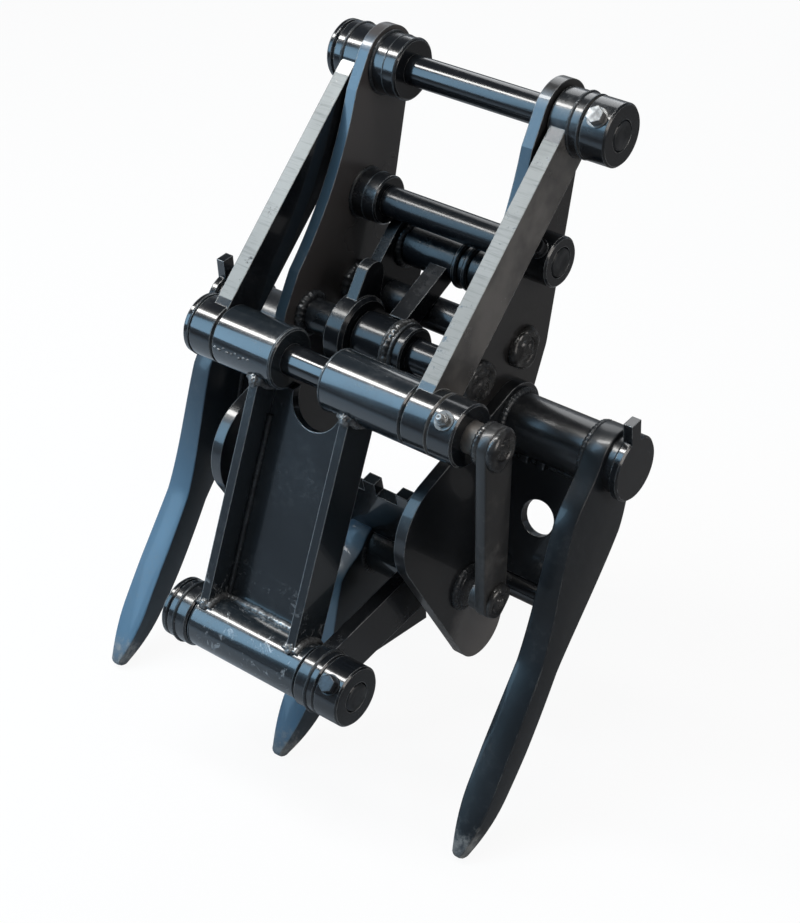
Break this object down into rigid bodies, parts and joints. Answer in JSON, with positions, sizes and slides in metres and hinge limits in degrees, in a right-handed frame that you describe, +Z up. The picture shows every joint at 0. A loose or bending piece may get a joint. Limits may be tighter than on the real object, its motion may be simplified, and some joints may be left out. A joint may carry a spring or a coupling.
{
  "type": "mini excavator grapple",
  "caption": "Mechanical grapple for a mini excavator: pinned ears, a rear jaw on a torque tube, and a hinged front jaw worked by rocker plates and a link.",
  "frame": {"origin": "middle of the dipper pin, halfway between the two ears", "axes": "+X along the pins, towards the side with the bolted collars; +Y to the rear, away from the front link; +Z up, with the tines pointing down"},
  "size_m": [0.42, 0.347, 0.5227],
  "materials": {
    "black_paint": "gloss",
    "rocker_paint": "gloss",
    "tine_paint": "gloss",
    "pin_steel": "gloss",
    "weld_metal": "rough",
    "zinc_bolt": "satin"
  },
  "bodies": {
    "rear_jaw": {"left_ear": "black_paint", "right_ear": "black_paint", "ear_bosses": "black_paint", "dipper_pin": "pin_steel", "dipper_pin_collar": "black_paint", "link_pin": "pin_steel", "link_pin_collar": "black_paint", "front_cross_shaft": "black_paint", "stop_disc": "black_paint", "cross_sleeve": "black_paint", "rear_cross_shaft": "black_paint", "cross_shaft_welds": "weld_metal", "hanger_tube": "black_paint", "hanger_cheek": "black_paint", "hanger_bar": "black_paint", "hanger_rings": "black_paint", "torque_tube": "black_paint", "torque_tube_caps": "black_paint", "left_side_plate": "black_paint", "right_side_plate": "black_paint", "left_tine": "tine_paint", "right_tine": "tine_paint", "left_web": "black_paint", "right_web": "black_paint", "brace_bars": "black_paint", "jaw_pivot_shaft": "black_paint", "pivot_end_discs": "weld_metal", "rear_collar_bolts": "zinc_bolt"},
    "rocker": {"left_rocker_plate": "rocker_paint", "right_rocker_plate": "rocker_paint", "front_pin": "pin_steel", "front_pin_collar": "black_paint", "side_lever": "black_paint", "grease_nipple": "zinc_bolt"},
    "front_link": {"left_link_tube": "black_paint", "right_link_tube": "black_paint", "left_link_rib": "black_paint", "right_link_rib": "black_paint", "link_plate": "black_paint", "lower_link_tube": "black_paint"},
    "front_jaw": {"jaw_tube": "black_paint", "left_arm": "black_paint", "right_arm": "black_paint", "jaw_web": "black_paint", "arm_gussets": "black_paint", "middle_tine": "tine_paint", "lower_pin": "pin_steel", "lower_pin_collar": "black_paint", "lower_collar_bolt": "zinc_bolt"}
  },
  "joints": [
    {"name": "rocker_swing", "type": "hinge", "parent": "rear_jaw", "child": "rocker", "pos_m": [0, 0, 0], "axis": [1, 0, 0], "range_deg": [-22, 0]},
    {"name": "link_swing", "type": "hinge", "parent": "rocker", "child": "front_link", "pos_m": [0, -0.192, -0.158], "axis": [1, 0, 0], "range_deg": [0, 36.5]},
    {"name": "front_jaw_swing", "type": "hinge", "parent": "rear_jaw", "child": "front_jaw", "pos_m": [0, -0.152, -0.35], "axis": [1, 0, 0], "range_deg": [-25.8, 0]}
  ],
  "couplings": [
    {"joint": "link_swing", "follows": "rocker_swing", "ratio": -1.6572},
    {"joint": "front_jaw_swing", "follows": "rocker_swing", "ratio": 1.1692}
  ]
}
